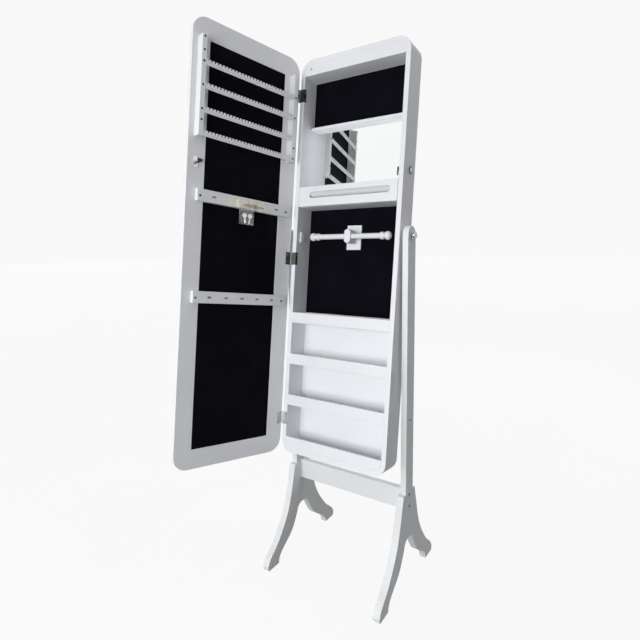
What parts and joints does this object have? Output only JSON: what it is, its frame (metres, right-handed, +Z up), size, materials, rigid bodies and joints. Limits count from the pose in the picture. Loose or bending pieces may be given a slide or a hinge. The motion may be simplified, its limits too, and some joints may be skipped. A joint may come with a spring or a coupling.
{
  "type": "jewelry armoire",
  "caption": "Free-standing tilting jewelry cabinet in a two-post stand; side-hinged mirror door with earring and necklace bars, velvet lining, drawer, bracelet rod and pockets.",
  "frame": {"origin": "on the floor, at the middle of the object's outline as it rests with the door open", "axes": "+Z up, -Y towards the person facing the open cabinet, +X to that person's right"},
  "size_m": [0.5023, 0.6452, 1.6045],
  "materials": {
    "white_paint": "satin white paint on board",
    "velvet": "short black velvet",
    "mirror": "polished silvered glass",
    "steel": "plated screws and keys",
    "dark_steel": "dark plated",
    "chrome": "polished",
    "clear_film": "clear thin film",
    "tape": "masking tape",
    "bumper": "soft grey",
    "nut": "moulded white"
  },
  "bodies": {
    "stand": {"left_post": "white_paint", "right_post": "white_paint", "left_leg": "white_paint", "right_leg": "white_paint", "cross_rail": "white_paint", "stand_screws": "steel"},
    "left_knob": {"left_knob": "chrome"},
    "right_knob": {"right_knob": "chrome"},
    "cabinet": {"left_side": "white_paint", "right_side": "white_paint", "top_board": "white_paint", "bottom_board": "white_paint", "back_panel": "white_paint", "top_rail": "white_paint", "ceiling_board": "white_paint", "top_pad": "velvet", "ledge": "white_paint", "inner_mirror": "mirror", "mirror_backing": "white_paint", "drawer_cover": "white_paint", "drawer_floor": "white_paint", "velvet_lining": "velvet", "rail_a": "white_paint", "rail_b": "white_paint", "rail_c": "white_paint", "rail_d": "white_paint", "pocket_floor_a": "white_paint", "pocket_floor_b": "white_paint", "pocket_floor_c": "white_paint", "pivot_blocks": "nut", "bracelet_plate": "white_paint", "bracelet_stem": "white_paint", "bracelet_rod": "white_paint", "hinge_leaves_cabinet": "dark_steel", "hinge_pins": "dark_steel", "lock_body": "dark_steel", "door_bumper": "bumper"},
    "drawer": {"drawer_front": "white_paint", "drawer_base": "white_paint", "drawer_walls": "white_paint", "drawer_lining": "velvet"},
    "door": {"door_panel": "white_paint", "door_velvet": "velvet", "door_mirror": "mirror", "rack_rail_hinge_side": "white_paint", "rack_rail_free_side": "white_paint", "earring_bar_1": "white_paint", "earring_bar_2": "white_paint", "earring_bar_3": "white_paint", "earring_bar_4": "white_paint", "necklace_bar_upper": "white_paint", "necklace_bar_lower": "white_paint", "door_screws": "steel", "latch": "dark_steel", "hinge_leaves_door": "dark_steel", "key_bag": "clear_film", "key_tape": "tape", "keys": "steel"},
    "lock": {"lock_plug": "dark_steel", "lock_lever": "dark_steel"}
  },
  "joints": [
    {"name": "tilt", "type": "hinge", "parent": "stand", "child": "cabinet", "pos_m": [0.03565, 0.1316, 1.033], "axis": [1, 0, 0], "range_deg": [-10, 7.5]},
    {"name": "door_hinge", "type": "hinge", "parent": "cabinet", "child": "door", "pos_m": [-0.14585, 0.09645, 0.96904], "axis": [0, -0.1305, -0.9914], "range_deg": [-104, 0]},
    {"name": "drawer_slide", "type": "slide", "parent": "cabinet", "child": "drawer", "axis": [0, -0.9914, 0.1305], "range_m": [0, 0.04]},
    {"name": "lock_turn", "type": "hinge", "parent": "cabinet", "child": "lock", "pos_m": [0.19215, 0.17258, 1.21017], "axis": [1, 0, 0], "range_deg": [0, 16]},
    {"name": "left_knob_turn", "type": "hinge", "parent": "stand", "child": "left_knob", "pos_m": [-0.16735, 0.1316, 1.033], "axis": [1, 0, 0], "continuous": true},
    {"name": "right_knob_turn", "type": "hinge", "parent": "stand", "child": "right_knob", "pos_m": [0.23865, 0.1316, 1.033], "axis": [1, 0, 0], "continuous": true}
  ]
}
